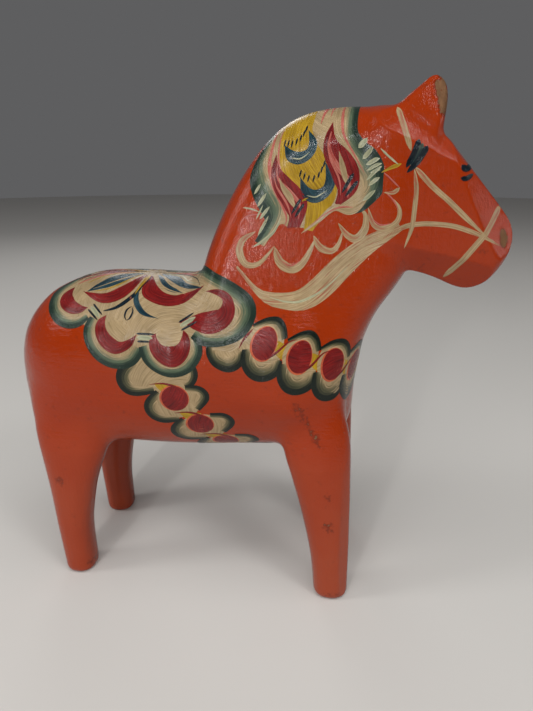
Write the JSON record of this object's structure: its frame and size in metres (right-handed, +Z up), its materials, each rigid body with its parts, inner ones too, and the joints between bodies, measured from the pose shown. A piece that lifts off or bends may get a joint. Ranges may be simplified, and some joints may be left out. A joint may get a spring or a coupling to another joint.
{
  "type": "carved wooden horse",
  "caption": "Large carved and painted wooden horse standing on four legs, glued up from pine boards and dowels.",
  "frame": {"origin": "on the ground, under the middle of the horse's bounding box", "axes": "+X towards the head, +Y towards the horse's left side, +Z up"},
  "size_m": [0.4806, 0.152, 0.496],
  "materials": {
    "painted_pine": "gloss",
    "birch": "satin"
  },
  "bodies": {
    "root": {"right_hind_leg_board": "painted_pine", "right_flank_board": "painted_pine", "right_foreleg_board": "painted_pine", "right_rump_board": "painted_pine", "right_loin_board": "painted_pine", "right_neck_board": "painted_pine", "right_head_board": "painted_pine", "left_hind_leg_board": "painted_pine", "left_flank_board": "painted_pine", "left_foreleg_board": "painted_pine", "left_rump_board": "painted_pine", "left_loin_board": "painted_pine", "left_neck_board": "painted_pine", "left_head_board": "painted_pine", "rump_dowels": "birch", "loin_dowels": "birch", "shoulder_dowels": "birch", "neck_dowels": "birch", "head_dowel": "birch"}
  },
  "joints": []
}
